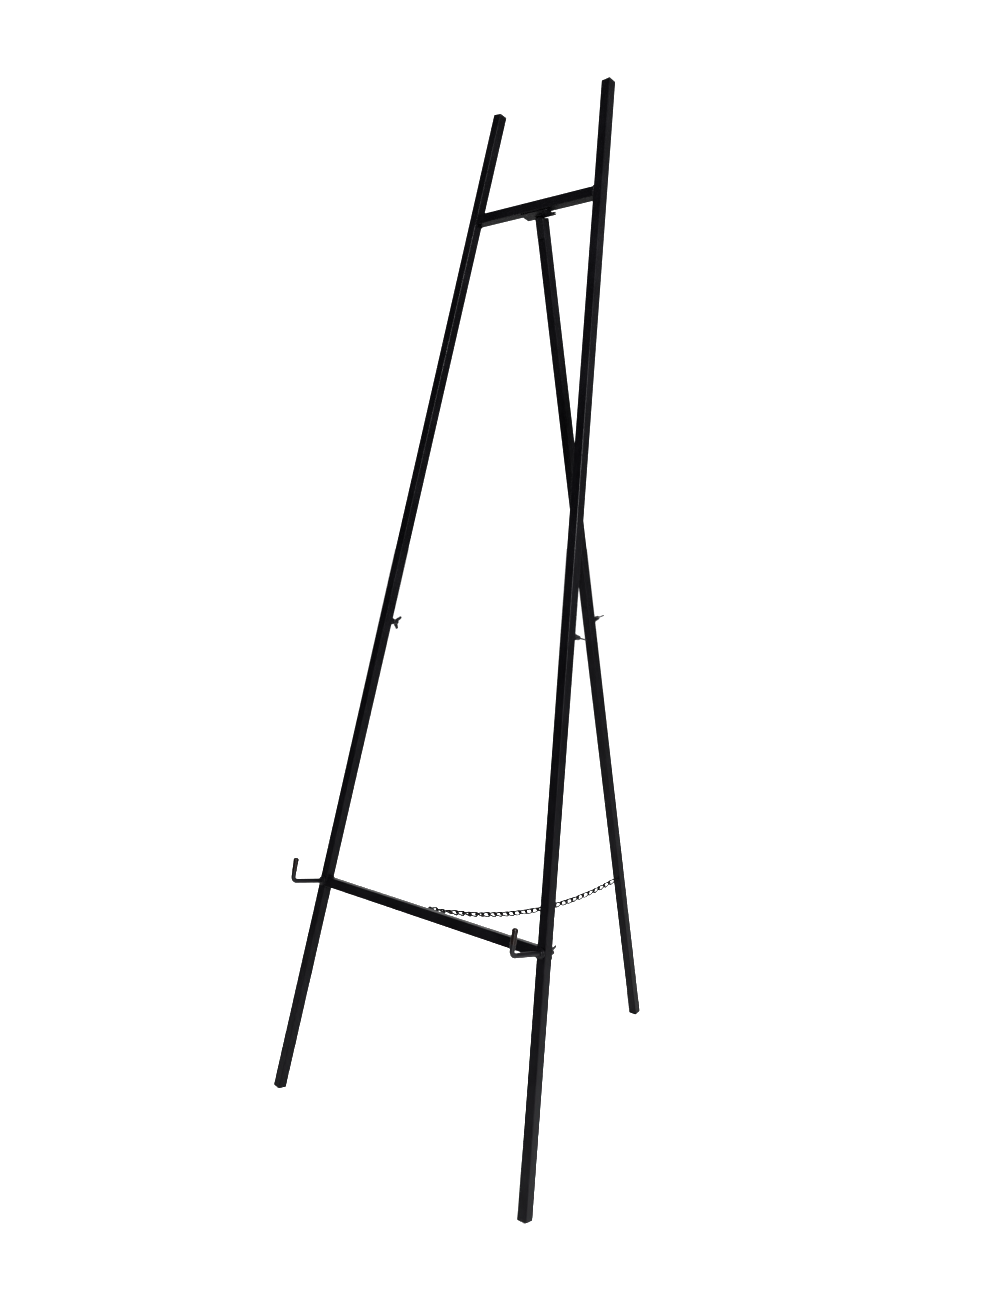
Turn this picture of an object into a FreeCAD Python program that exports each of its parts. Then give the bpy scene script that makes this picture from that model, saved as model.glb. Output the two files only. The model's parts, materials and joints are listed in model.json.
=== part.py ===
"""Tripod field easel of square steel tube: two plug-together front legs with a welded upper and lower
crossbar, a hinged rear leg, a stay chain, two board hooks, wing bolts and wing nuts.

Frame: millimetres, +Z up, the front faces -Y, +X to the right. The origin lies on the floor in the
centre plane, halfway between the front feet and the rear foot.
"""
import FreeCAD, Part
import Sketcher
import math
import os

V = FreeCAD.Vector

# ---------------------------------------------------------------- driving dimensions

SIZES = {
    # the front frame
    "overall_height": 1605.0,
    "front_lean": 13.06,            # degrees back from upright
    "foot_half_spacing": 270.4,     # leg axis to centre plane, at the floor
    "top_half_spacing": 110.7,      # leg axis to centre plane, at the top
    "top_bar_height": 1464.5,       # along the leaning frame, foot to bar axis
    "lower_bar_height": 350.0,
    "front_lower_length": 824.5,    # lower section of a front leg, up to its joint
    # the rear leg
    "rear_lean": 11.4,              # degrees back from upright, as it stands open
    "rear_lower_length": 805.5,
    # tube, and the sleeve that joins an upper and a lower section
    "tube_side": 16.0,
    "tube_wall": 1.0,
    "tube_corner": 1.4,
    "joint_chamfer": 0.4,           # on the two tube ends that meet in a leg
    "sleeve_wall": 1.2,
    "sleeve_corner": 1.0,
    "sleeve_length": 90.0,
    "sleeve_clearance": 0.2,        # each side, sleeve to tube
    # end caps and feet
    "cap_flange": 3.6,
    "cap_round": 1.35,
    "cap_plug_depth": 14.0,
    "cap_clearance": 0.1,
    "cap_wall": 1.8,
    # joint wing bolts in their welded nuts
    "bolt_below_joint": 28.0,
    "thread_diameter": 6.0,
    "thread_clearance": 0.06,
    "nut_width": 11.0,
    "nut_height": 5.0,
    "bolt_bare_thread": 2.6,        # thread showing between nut and head
    "bolt_tip_gap": 0.12,           # tip to the sleeve it clamps
    "hub_diameter": 9.2,
    "hub_end_diameter": 7.0,
    "hub_length": 11.0,
    "wing_span": 23.0,
    "wing_thickness": 2.4,
    "wing_tip_radius": 2.6,
    "wing_flare": 2.5,              # how far the tip centres stand past the head
    # board hooks
    "hook_rod": 8.0,
    "hook_reach": 63.0,             # leg face to the upright's axis
    "hook_upright": 38.0,           # arm axis to the top of the tip
    "hook_bend_radius": 8.0,
    "hook_splay": 0.0,              # degrees the upright leans out
    "hook_tip_diameter": 9.6,
    "hook_tip_length": 22.0,
    "hook_tip_end": 1.5,            # tip cover past the rod's end
    "hook_tip_round": 4.0,
    "hook_tip_clearance": 0.05,
    "collar_diameter": 15.0,
    "collar_thickness": 2.6,
    "seat_gap": 0.1,                # collar or wing nut to the tube's face
    "wing_nut_length": 9.0,
    "wing_nut_end_diameter": 8.0,
    "shank_past_nut": 2.5,
    # hinge
    "hinge_length": 56.0,
    "hinge_leaf_cover": 12.0,       # how far the bar leaf reaches under the bar
    "hinge_leaf_thickness": 1.3,
    "hinge_pin_diameter": 3.0,
    "hinge_clearance": 0.06,
    "hinge_knuckle": 13.0,          # length of the leg leaf's knuckle
    "hinge_knuckle_gap": 0.4,
    "hinge_fold_gap": 0.4,          # leg leaf to the bar, as the leg folds
    "hinge_corner_cut": 2.5,
    "strap_length": 34.0,           # hinge axis to the lower end of the leg leaf
    # stay chain and its screw eyes
    "link_pitch": 15.2,
    "chain_slack": 1.01,            # least chain length over the distance between its eyes
    "link_wire": 2.3,
    "link_width": 9.8,
    "link_clearance": 0.35,
    "eye_diameter": 9.0,
    "eye_wire": 2.0,
    "eye_shank_diameter": 1.8,
    "eye_neck": 2.5,
    "eye_thread_depth": 6.0,
    "bar_eye_rise": 5.0,            # above the lower bar's axis
    "bar_eye_side": -7.0,           # from the centre plane
    "leg_eye_height": 287.0,        # up the rear leg from its foot
    "leg_eye_side": 2.5,
}

# where the chain from the bar to the rear leg is cut into spans, as shares of its links
CHAIN_CUTS = (8 / 31, 17 / 31, 18 / 31, 25 / 31, 1)

doc = FreeCAD.newDocument("field_easel")
sheet = doc.addObject("Spreadsheet::Sheet", "Sizes")
for row, (alias, value) in enumerate(SIZES.items(), start=1):
    sheet.set("A%d" % row, alias)
    sheet.set("B%d" % row, repr(value))
    sheet.setAlias("B%d" % row, alias)
doc.recompute()


def size(alias):
    """A driving dimension, read back from the sheet."""
    return float(sheet.get(alias))


# ---------------------------------------------------------------- where things stand

HALF = size("tube_side") / 2
LEAN = math.radians(size("front_lean"))
REAR = math.radians(size("rear_lean"))

UP = V(0, math.sin(LEAN), math.cos(LEAN))           # up along the leaning front frame
FRONT = V(0, -math.cos(LEAN), math.sin(LEAN))       # out of the frame's front face
REAR_UP = V(0, -math.sin(REAR), math.cos(REAR))     # up along the rear leg
REAR_FRONT = V(0, -math.cos(REAR), -math.sin(REAR))
RIGHT = V(1, 0, 0)

# the splay of the front legs, in the plane of the frame
SPREAD = size("foot_half_spacing") - size("top_half_spacing")
SPLAY = math.atan(SPREAD * math.cos(LEAN) / size("overall_height"))


def foot_rise(back, side=0.0):
    """How far a square-cut, rounded foot lifts its leg's axis off the floor, leaning by two angles."""
    down_x, down_y = math.sin(side) * math.cos(back), math.sin(back)
    rim, corner = size("cap_round"), size("tube_corner")
    return ((HALF - corner) * (down_x + down_y) + (corner - rim) * math.hypot(down_x, down_y)
            + rim * (1 - math.cos(side) * math.cos(back)))


FOOT_RISE = foot_rise(LEAN, SPLAY)
REAR_FOOT_RISE = foot_rise(REAR)
FRAME_LENGTH = (size("overall_height") - 2 * FOOT_RISE) / math.cos(LEAN)
LEG_LENGTH = FRAME_LENGTH / math.cos(SPLAY)


def half_spacing(height):
    """Leg axis to centre plane, at a height along the leaning frame."""
    return size("foot_half_spacing") - height * math.tan(SPLAY)


def frame_point(side, height, out=0.0):
    """A point of the front frame: sideways, up along it, and out of its middle plane."""
    return V(0, 0, FOOT_RISE) + RIGHT * side + UP * height + FRONT * out


# the hinge axis, behind the upper crossbar and just above its lower face
LEAF = size("hinge_leaf_thickness")
PIN_HOLE_R = size("hinge_pin_diameter") / 2 + size("hinge_clearance")
KNUCKLE_R = PIN_HOLE_R + LEAF
HINGE_BACK = HALF + LEAF + size("hinge_fold_gap")
HINGE = frame_point(0, size("top_bar_height") - HALF + PIN_HOLE_R, -HALF - HINGE_BACK)

# the rear leg hangs from the hinge axis, its upper end just clear of the knuckles
REAR_TOP = HINGE - REAR_UP * (KNUCKLE_R + size("hinge_knuckle_gap"))
REAR_LENGTH = (REAR_TOP.z - REAR_FOOT_RISE) / math.cos(REAR)
REAR_FOOT = REAR_TOP - REAR_UP * REAR_LENGTH
ORIGIN = V(0, REAR_FOOT.y / 2, 0)


def turned(x_axis, z_axis):
    """A rotation that takes local X and Z to the given directions."""
    return FreeCAD.Rotation(x_axis, z_axis.cross(x_axis), z_axis, "ZXY")


def leg_rotation(side):
    """A front leg's axes: Z up the leg, -Y out of its front face."""
    return turned(RIGHT * math.cos(SPLAY) + UP * side * math.sin(SPLAY),
                  UP * math.cos(SPLAY) - RIGHT * side * math.sin(SPLAY))


def at(point, rotation, offset=V(0, 0, 0)):
    """A placement on the easel: the point, plus an offset in the piece's own axes."""
    return FreeCAD.Placement(point - ORIGIN + rotation.multVec(offset), rotation)


REAR_ROTATION = turned(RIGHT, REAR_UP)
BAR_ROTATION = turned(UP * -1, RIGHT)               # a bar's Z runs to the right, its Y backward
FRAME_ROTATION = turned(RIGHT, UP)
BACK_ROTATION = turned(RIGHT, FRONT * -1)           # Z out of the frame's back, Y down it
OUT_ROTATION = turned(RIGHT, FRONT)                 # Z out of the frame's front, Y up it

nodes = []


def node(obj, label, placement):
    """Gives a finished sub-part its label and its place, and lists it for export."""
    obj.Label = label
    obj.Placement = placement
    nodes.append(obj)


# ---------------------------------------------------------------- building blocks

def primitive(kind, name, placement=None, **formulas):
    """A Part primitive whose sizes are bound to formulas in the sheet's aliases."""
    obj = doc.addObject("Part::" + kind, name)
    for prop, formula in formulas.items():
        obj.setExpression(prop, formula)
    if placement is not None:
        obj.Placement = placement
    return obj


def shift(x=0.0, y=0.0, z=0.0):
    """A placement that only moves."""
    return FreeCAD.Placement(V(x, y, z), FreeCAD.Rotation())


def fuse(name, *pieces):
    """One solid of several."""
    obj = doc.addObject("Part::MultiFuse", name)
    obj.Shapes = list(pieces)
    obj.Refine = True
    return obj


def cut(name, base, *tools):
    """A solid less its tools."""
    for k, tool in enumerate(tools):
        obj = doc.addObject("Part::Cut", "%s_%d" % (name, k))
        obj.Base = base
        obj.Tool = tool
        base = obj
    return base


def sketch_on(body, name, role="XY_Plane"):
    """An empty sketch on one of the body's own origin planes."""
    sketch = body.newObject("Sketcher::SketchObject", name)
    plane = [f for f in body.Origin.OriginFeatures if f.Role == role][0]
    sketch.AttachmentSupport = [(plane, "")]
    sketch.MapMode = "FlatFace"
    return sketch


def draw_square(sketch, side_formula):
    """A square centred on the sketch's origin, its side bound to the sheet."""
    corners = [V(-5, -5, 0), V(5, -5, 0), V(5, 5, 0), V(-5, 5, 0)]
    for k in range(4):
        sketch.addGeometry(Part.LineSegment(corners[k], corners[(k + 1) % 4]))
    for k, kind in enumerate(("Horizontal", "Vertical", "Horizontal", "Vertical")):
        sketch.addConstraint(Sketcher.Constraint("Coincident", k, 2, (k + 1) % 4, 1))
        sketch.addConstraint(Sketcher.Constraint(kind, k))
    sketch.addConstraint(Sketcher.Constraint("Symmetric", 0, 1, 2, 1, -1, 1))
    sketch.addConstraint(Sketcher.Constraint("Equal", 0, 1))
    side = sketch.addConstraint(Sketcher.Constraint("DistanceX", 0, 1, 0, 2, 10.0))
    sketch.renameConstraint(side, "Side")
    sketch.setExpression("Constraints.Side", side_formula)


def draw_circle(sketch, radius_formula):
    """A circle on the sketch's origin, its radius bound to the sheet."""
    sketch.addGeometry(Part.Circle(V(0, 0, 0), V(0, 0, 1), 2.0))
    sketch.addConstraint(Sketcher.Constraint("Coincident", 0, 3, -1, 1))
    radius = sketch.addConstraint(Sketcher.Constraint("Radius", 0, 2.0))
    sketch.renameConstraint(radius, "Radius")
    sketch.setExpression("Constraints.Radius", radius_formula)


def extrude(body, kind, name, sketch, formula=None, reverse=False):
    """A Pad or Pocket of a sketch: to a length bound to the sheet, or through everything."""
    feature = body.newObject("PartDesign::" + kind, name)
    feature.Profile = sketch
    feature.Reversed = reverse
    if formula is None:
        feature.Type = "ThroughAll"
    else:
        feature.setExpression("Length", formula)
    doc.recompute()
    return feature


def fillet(body, name, base, edge_names, radius_formula):
    """Rounds edges of the body's last feature."""
    feature = body.newObject("PartDesign::Fillet", name)
    feature.Base = (base, edge_names)
    feature.setExpression("Radius", radius_formula)
    doc.recompute()
    return feature


def upright_edges(shape):
    """Names of the straight edges that run the shape's whole height."""
    tall = shape.BoundBox.ZLength
    return ["Edge%d" % k for k, edge in enumerate(shape.Edges, start=1)
            if abs(edge.BoundBox.ZLength - tall) < 1e-4]


def edges_at(shape, height):
    """Names of the edges that lie in the plane Z = height."""
    return ["Edge%d" % k for k, edge in enumerate(shape.Edges, start=1)
            if abs(edge.BoundBox.ZMin - height) + abs(edge.BoundBox.ZMax - height) < 1e-4]


def square_tube(name, length, side="Sizes.tube_side", wall="Sizes.tube_wall", corner="Sizes.tube_corner"):
    """A body: square tube with rounded edges, standing on its own XY plane."""
    body = doc.addObject("PartDesign::Body", name)
    outline = sketch_on(body, name + "_outline")
    draw_square(outline, side)
    pad = extrude(body, "Pad", name + "_pad", outline, length)
    fillet(body, name + "_corners", pad, upright_edges(pad.Shape), corner)
    bore = sketch_on(body, name + "_bore")
    draw_square(bore, "%s - 2 * %s" % (side, wall))
    extrude(body, "Pocket", name + "_hollow", bore, reverse=True)
    return body


def chamfer_end(body, name, height):
    """Eases the outer edge of a tube's end, at Z = height."""
    outside = HALF - size("tube_wall") / 2
    rim = [edge for edge in edges_at(body.Shape, height)
           if max(abs(c) for c in body.Shape.getElement(edge).CenterOfMass[:2]) > outside]
    base = body.Tip
    feature = body.newObject("PartDesign::Chamfer", name)
    feature.Base = (base, rim)
    feature.setExpression("Size", "Sizes.joint_chamfer")
    doc.recompute()


THREAD_HOLE = "Sizes.thread_diameter / 2 + Sizes.thread_clearance"
EYE_HOLE = "Sizes.eye_shank_diameter / 2 + Sizes.thread_clearance"
BACK_WALL, FRONT_WALL, BOTH_WALLS = ("One side", False), ("One side", True), ("Symmetric", False)


def wall_hole(body, name, walls, radius, up, across="0"):
    """A round hole across a tube, through its back wall, its front wall or both."""
    before = body.Shape.Volume
    outline = sketch_on(body, name + "_outline", "XZ_Plane")
    outline.setExpression("AttachmentOffset.Base.x", across)
    outline.setExpression("AttachmentOffset.Base.y", up)
    draw_circle(outline, radius)
    hole = extrude(body, "Pocket", name, outline, reverse=walls[1])
    hole.SideType = walls[0]
    doc.recompute()
    if body.Shape.Volume > before - 1.0:
        raise RuntimeError(name + " cut nothing")


def ear(hub_radius, low, high, span, tip_radius, tip_z, thickness):
    """One wing: a plate from inside the hub, between two heights, out to a round tip."""
    centre = V(span / 2 - tip_radius, 0, tip_z)
    roots = [V(hub_radius / 2, 0, low), V(hub_radius / 2, 0, high)]
    touches = []
    for root, turn in zip(roots, (-1, 1)):
        reach = root - centre
        swing = turn * math.acos(tip_radius / reach.Length)
        spoke = FreeCAD.Rotation(V(0, 1, 0), math.degrees(swing)).multVec(reach.normalize())
        touches.append(centre + spoke * tip_radius)
    tip = centre + (centre - (roots[0] + roots[1]) * 0.5).normalize() * tip_radius
    outline = Part.Wire([
        Part.LineSegment(roots[0], touches[0]).toShape(),
        Part.Arc(touches[0], tip, touches[1]).toShape(),
        Part.LineSegment(touches[1], roots[1]).toShape(),
        Part.LineSegment(roots[1], roots[0]).toShape(),
    ])
    plate = Part.Face(outline)
    plate.translate(V(0, -thickness / 2, 0))
    return plate.extrude(V(0, thickness, 0))


def wings(name, hub_start, hub_length):
    """The pair of wings on a hub that starts at a height on the turning axis."""
    obj = doc.addObject("Part::Feature", name)
    one = ear(size("hub_end_diameter") / 2, hub_start + hub_length * 0.35, hub_start + hub_length,
              size("wing_span"), size("wing_tip_radius"), hub_start + hub_length + size("wing_flare"),
              size("wing_thickness"))
    other = one.copy()
    other.rotate(V(0, 0, 0), V(0, 0, 1), 180)
    obj.Shape = Part.makeCompound([one, other])
    return obj


# ---------------------------------------------------------------- tubes, sleeves and caps

SIDES = {"left": -1, "right": 1}


def end_cap(label, placement):
    """A moulded cap: a rounded flange with a hollow plug below it."""
    body = doc.addObject("PartDesign::Body", label)
    flange = sketch_on(body, label + "_flange_outline")
    draw_square(flange, "Sizes.tube_side")
    pad = extrude(body, "Pad", label + "_flange", flange, "Sizes.cap_flange")
    rounded = fillet(body, label + "_corners", pad, upright_edges(pad.Shape), "Sizes.tube_corner")
    fillet(body, label + "_rim", rounded, edges_at(rounded.Shape, size("cap_flange")), "Sizes.cap_round")
    plug = sketch_on(body, label + "_plug_outline")
    draw_square(plug, "Sizes.tube_side - 2 * (Sizes.tube_wall + Sizes.cap_clearance)")
    extrude(body, "Pad", label + "_plug", plug, "Sizes.cap_plug_depth", reverse=True)
    hollow = sketch_on(body, label + "_hollow_outline")
    draw_square(hollow, "Sizes.tube_side - 2 * (Sizes.tube_wall + Sizes.cap_clearance + Sizes.cap_wall)")
    extrude(body, "Pocket", label + "_hollow", hollow, "Sizes.cap_plug_depth")
    node(body, label, placement)


def caps(prefix, foot_point, top_point, rotation):
    """The caps at the two ends of a leg."""
    over = rotation.multiply(FreeCAD.Rotation(V(1, 0, 0), 180))
    flange = size("cap_flange")
    end_cap(prefix + "_foot_cap", at(foot_point, over, V(0, 0, -flange)))
    end_cap(prefix + "_top_cap", at(top_point, rotation, V(0, 0, -flange)))


def leg(prefix, foot, rotation, length, lower_length, length_formula, hook_height=None, eye=False):
    """A leg's two tubes, the sleeve inside them, the welded nut and the end caps."""
    sleeve_side = "Sizes.tube_side - 2 * (Sizes.tube_wall + Sizes.sleeve_clearance)"
    lower = square_tube(prefix + "_lower_tube", length_formula + " - Sizes.cap_flange")
    chamfer_end(lower, prefix + "_lower_chamfer", lower_length - size("cap_flange"))
    bolt_height = "%s - Sizes.cap_flange - Sizes.bolt_below_joint" % length_formula
    wall_hole(lower, prefix + "_bolt_hole", BACK_WALL, THREAD_HOLE, bolt_height)
    if hook_height is not None:
        wall_hole(lower, prefix + "_hook_hole", BOTH_WALLS, THREAD_HOLE, hook_height)
    if eye:
        wall_hole(lower, prefix + "_eye_hole", FRONT_WALL, EYE_HOLE,
                  "Sizes.leg_eye_height - Sizes.cap_flange", "Sizes.leg_eye_side")
    node(lower, prefix + "_lower_leg", at(foot, rotation, V(0, 0, size("cap_flange"))))

    upper = square_tube(prefix + "_upper_tube", "%f - %s - Sizes.cap_flange" % (length, length_formula))
    chamfer_end(upper, prefix + "_upper_chamfer", 0)
    node(upper, prefix + "_upper_leg", at(foot, rotation, V(0, 0, lower_length)))
    sleeve = square_tube(prefix + "_sleeve", "Sizes.sleeve_length", sleeve_side, "Sizes.sleeve_wall",
                         "Sizes.sleeve_corner")
    node(sleeve, prefix + "_joint_sleeve",
         at(foot, rotation, V(0, 0, lower_length - size("sleeve_length") / 2)))
    caps(prefix, foot, foot + rotation.multVec(V(0, 0, length)), rotation)

    back = rotation.multiply(FreeCAD.Rotation(V(1, 0, 0), -90))
    bolt_seat = foot + rotation.multVec(V(0, HALF, lower_length - size("bolt_below_joint")))
    weld_nut(prefix, at(bolt_seat, back))
    wing_bolt(prefix, at(bolt_seat, back.multiply(FreeCAD.Rotation(V(0, 0, 1), WING_TURN[prefix]))))


# ---------------------------------------------------------------- wing bolts and nuts

# degrees each wing bolt and each hook's wing nut stands turned
WING_TURN = {"left": 100.0, "right": 14.0, "rear": -20.0}
HOOK_NUT_TURN = {"left": 5.0, "right": 103.0}


def weld_nut(prefix, placement):
    """The hexagon nut welded over a tube's bolt hole."""
    block = primitive("Prism", prefix + "_nut_block", Circumradius="Sizes.nut_width / sqrt(3)",
                      Height="Sizes.nut_height")
    bore = primitive("Cylinder", prefix + "_nut_bore", Radius=THREAD_HOLE, Height="Sizes.nut_height")
    node(cut(prefix + "_nut", block, bore), prefix + "_weld_nut", placement)


def wing_bolt(prefix, placement):
    """A wing bolt from its tip, against the sleeve, to its wings; Z runs out of the tube's face."""
    tip = "(Sizes.tube_wall + Sizes.sleeve_clearance - Sizes.bolt_tip_gap)"
    head = "(Sizes.nut_height + Sizes.bolt_bare_thread)"
    head_start = size("nut_height") + size("bolt_bare_thread")
    tip_start = size("tube_wall") + size("sleeve_clearance") - size("bolt_tip_gap")
    shank = primitive("Cylinder", prefix + "_bolt_shank", shift(z=-tip_start),
                      Radius="Sizes.thread_diameter / 2", Height="%s + %s" % (tip, head))
    hub = primitive("Cone", prefix + "_bolt_hub", shift(z=head_start), Radius1="Sizes.hub_diameter / 2",
                    Radius2="Sizes.hub_end_diameter / 2", Height="Sizes.hub_length")
    pair = wings(prefix + "_bolt_wings", head_start, size("hub_length"))
    node(fuse(prefix + "_bolt", shank, hub, pair), prefix + "_wing_bolt", placement)


def wing_nut(prefix, placement):
    """The wing nut on a hook's shank; Z runs out of the tube's back face."""
    hub = primitive("Cone", prefix + "_nut_hub", Radius1="Sizes.hub_diameter / 2",
                    Radius2="Sizes.wing_nut_end_diameter / 2", Height="Sizes.wing_nut_length")
    pair = wings(prefix + "_nut_wings", 0.0, size("wing_nut_length"))
    bore = primitive("Cylinder", prefix + "_nut_thread", shift(z=-1), Radius=THREAD_HOLE,
                     Height="Sizes.wing_nut_length * 2")
    node(cut(prefix + "_wing_nut_bored", fuse(prefix + "_nut_head", hub, pair), bore),
         prefix + "_wing_nut", placement)


# ---------------------------------------------------------------- crossbars

def crossbar(label, height_name, eye=False):
    """A bar welded between the legs, its ends mitred to the legs' inner faces."""
    height = size(height_name)
    axis_spacing = "(Sizes.foot_half_spacing - Sizes.%s * %.9f)" % (height_name, math.tan(SPLAY))
    tube = square_tube(label + "_tube", "2 * " + axis_spacing)
    if eye:
        wall_hole(tube, label + "_eye_hole", BACK_WALL, EYE_HOLE,
                  axis_spacing + " + Sizes.bar_eye_side", "-Sizes.bar_eye_rise")
    tube.Placement = shift(z=-half_spacing(height))
    side = size("tube_side")
    trims = []
    for end in (-1, 1):
        turn = FreeCAD.Rotation(V(0, 1, 0), -end * math.degrees(SPLAY))
        inner_face = V(0, 0, end * (half_spacing(height) - HALF / math.cos(SPLAY)))
        corner = V(-side, -side, 0 if end > 0 else -2 * side)
        spot = FreeCAD.Placement(inner_face + turn.multVec(corner), turn)
        trims.append(primitive("Box", "%s_trim_%d" % (label, end + 1), spot, Length="2 * Sizes.tube_side",
                               Width="2 * Sizes.tube_side", Height="2 * Sizes.tube_side"))
    node(cut(label + "_mitred", tube, *trims), label, at(frame_point(0, height), BAR_ROTATION))


# ---------------------------------------------------------------- hinge

def knuckle(name, start, length):
    """A bored barrel along X, from a place on the hinge axis."""
    along = FreeCAD.Rotation(V(0, 0, 1), V(1, 0, 0))
    barrel = primitive("Cylinder", name + "_barrel", Height=length, Radius=(
        "Sizes.hinge_pin_diameter / 2 + Sizes.hinge_clearance + Sizes.hinge_leaf_thickness"))
    barrel.Placement = FreeCAD.Placement(V(start, 0, 0), along)
    return barrel


def pin_bore(name):
    """The hole for the hinge pin, right along the hinge."""
    bore = primitive("Cylinder", name, Radius="Sizes.hinge_pin_diameter / 2 + Sizes.hinge_clearance",
                     Height="Sizes.hinge_length + 2")
    bore.Placement = FreeCAD.Placement(V(-size("hinge_length") / 2 - 1, 0, 0),
                                       FreeCAD.Rotation(V(0, 0, 1), V(1, 0, 0)))
    return bore


def hinge():
    """The butt hinge: a leaf under the bar, an angled leaf on the rear leg, and the pin."""
    long, middle, gap = size("hinge_length"), size("hinge_knuckle"), size("hinge_knuckle_gap")
    outer = "(Sizes.hinge_length - Sizes.hinge_knuckle) / 2 - Sizes.hinge_knuckle_gap"
    width = HINGE_BACK + size("hinge_leaf_cover")

    # the bar leaf lies under the bar, its own axes X along the hinge, -Y forward, Z up
    plate = primitive("Box", "bar_leaf_plate", shift(-long / 2, -width, -KNUCKLE_R),
                      Length="Sizes.hinge_length", Width="%f + Sizes.hinge_leaf_cover" % HINGE_BACK,
                      Height="Sizes.hinge_leaf_thickness")
    notch = primitive("Box", "bar_leaf_notch", shift(-middle / 2 - gap, -HINGE_BACK, -2 * KNUCKLE_R),
                      Length="Sizes.hinge_knuckle + 2 * Sizes.hinge_knuckle_gap",
                      Width="2 * %f" % HINGE_BACK, Height="4 * %f" % KNUCKLE_R)
    corners = []
    for end in (-1, 1):
        turn = FreeCAD.Rotation(V(0, 0, 1), 45)
        spot = V(end * long / 2, -width, -2 * KNUCKLE_R)
        offset = turn.multVec(V(-1, -1, 0) * (size("hinge_corner_cut") / math.sqrt(2)))
        corners.append(primitive("Box", "bar_leaf_corner_%d" % (end + 1),
                                 FreeCAD.Placement(spot + offset, turn),
                                 Length="Sizes.hinge_corner_cut * sqrt(2)",
                                 Width="Sizes.hinge_corner_cut * sqrt(2)",
                                 Height="4 * %f" % KNUCKLE_R))
    barrels = [knuckle("bar_leaf_left", -long / 2, outer),
               knuckle("bar_leaf_right", middle / 2 + gap, outer)]
    trimmed = cut("bar_leaf_trimmed", plate, notch, *corners)
    node(cut("bar_leaf", fuse("bar_leaf_body", trimmed, *barrels), pin_bore("bar_leaf_bore")),
         "hinge_bar_leaf", at(HINGE, FRAME_ROTATION))

    # the leg leaf runs forward over the leg's end and down its front face
    ledge = primitive("Box", "leg_leaf_ledge", shift(-middle / 2, -HALF - LEAF, -KNUCKLE_R),
                      Length="Sizes.hinge_knuckle",
                      Width="Sizes.tube_side / 2 + Sizes.hinge_leaf_thickness",
                      Height="Sizes.hinge_leaf_thickness")
    strap = primitive("Box", "leg_leaf_strap", shift(-middle / 2, -HALF - LEAF, -size("strap_length")),
                      Length="Sizes.hinge_knuckle", Width="Sizes.hinge_leaf_thickness",
                      Height="Sizes.strap_length - %f" % PIN_HOLE_R)
    barrel = knuckle("leg_leaf", -middle / 2, "Sizes.hinge_knuckle")
    node(cut("leg_leaf_bored", fuse("leg_leaf_body", ledge, strap, barrel), pin_bore("leg_leaf_bore")),
         "hinge_leg_leaf", at(HINGE, REAR_ROTATION))

    pin = primitive("Cylinder", "pin", Radius="Sizes.hinge_pin_diameter / 2", Height="Sizes.hinge_length")
    node(pin, "hinge_pin", at(HINGE, turned(UP, RIGHT), V(0, 0, -long / 2)))


# ---------------------------------------------------------------- board hooks

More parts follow.
